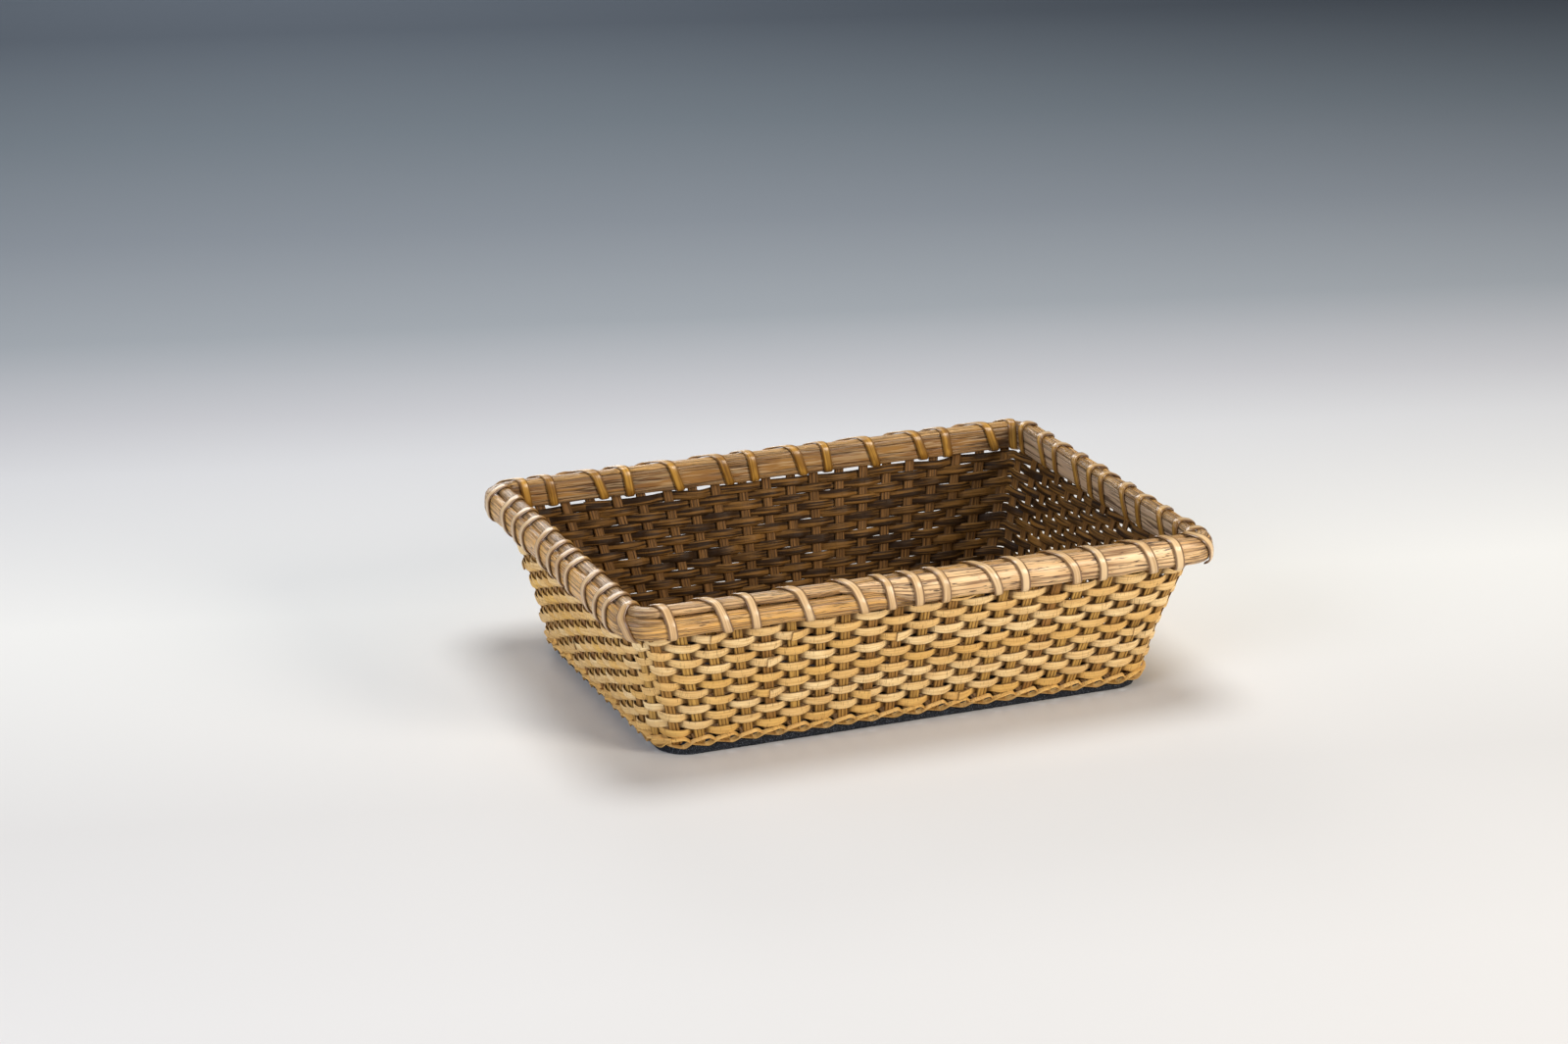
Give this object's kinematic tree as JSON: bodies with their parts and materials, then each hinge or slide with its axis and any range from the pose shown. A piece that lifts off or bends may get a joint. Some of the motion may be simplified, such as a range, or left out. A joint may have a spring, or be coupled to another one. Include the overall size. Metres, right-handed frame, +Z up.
{
  "type": "berry basket",
  "caption": "Oblong woven reed basket with flaring walls, a lashed cane rim and a flat pad under its base, for berries and other small fruit.",
  "frame": {"origin": "middle of the pad's underside, on the table, under the middle of the basket", "axes": "+X along the long walls, +Y from the front wall to the back wall, +Z up out of the basket"},
  "size_m": [0.2992, 0.2158, 0.081],
  "materials": {
    "stake_reed": "matte",
    "weaver_reed": "satin",
    "rim_cane": "gloss",
    "lashing_peel": "satin",
    "base_pad": "matte"
  },
  "bodies": {
    "root": {"long_wall_stake_01": "stake_reed", "long_wall_stake_02": "stake_reed", "long_wall_stake_03": "stake_reed", "long_wall_stake_04": "stake_reed", "long_wall_stake_05": "stake_reed", "long_wall_stake_06": "stake_reed", "long_wall_stake_07": "stake_reed", "long_wall_stake_08": "stake_reed", "long_wall_stake_09": "stake_reed", "long_wall_stake_10": "stake_reed", "long_wall_stake_11": "stake_reed", "long_wall_stake_12": "stake_reed", "long_wall_stake_13": "stake_reed", "long_wall_stake_14": "stake_reed", "long_wall_stake_15": "stake_reed", "long_wall_stake_16": "stake_reed", "long_wall_stake_17": "stake_reed", "long_wall_stake_18": "stake_reed", "long_wall_stake_19": "stake_reed", "long_wall_stake_20": "stake_reed", "long_wall_stake_21": "stake_reed", "short_wall_stake_01": "stake_reed", "short_wall_stake_02": "stake_reed", "short_wall_stake_03": "stake_reed", "short_wall_stake_04": "stake_reed", "short_wall_stake_05": "stake_reed", "short_wall_stake_06": "stake_reed", "short_wall_stake_07": "stake_reed", "short_wall_stake_08": "stake_reed", "short_wall_stake_09": "stake_reed", "short_wall_stake_10": "stake_reed", "short_wall_stake_11": "stake_reed", "short_wall_stake_12": "stake_reed", "short_wall_stake_13": "stake_reed", "short_wall_stake_14": "stake_reed", "short_wall_stake_15": "stake_reed", "wall_weaver_01": "weaver_reed", "wall_weaver_02": "weaver_reed", "wall_weaver_03": "weaver_reed", "wall_weaver_04": "weaver_reed", "wall_weaver_05": "weaver_reed", "wall_weaver_06": "weaver_reed", "wall_weaver_07": "weaver_reed", "wall_weaver_08": "weaver_reed", "wall_weaver_09": "weaver_reed", "wall_weaver_10": "weaver_reed", "wall_weaver_11": "weaver_reed", "wall_weaver_12": "weaver_reed", "wall_weaver_13": "weaver_reed", "foot_weaver": "weaver_reed", "outer_rim_cane": "rim_cane", "inner_rim_cane": "rim_cane", "top_rim_cane": "rim_cane", "front_lashing": "lashing_peel", "right_lashing": "lashing_peel", "back_lashing": "lashing_peel", "left_lashing": "lashing_peel", "base_pad": "base_pad"}
  },
  "joints": []
}
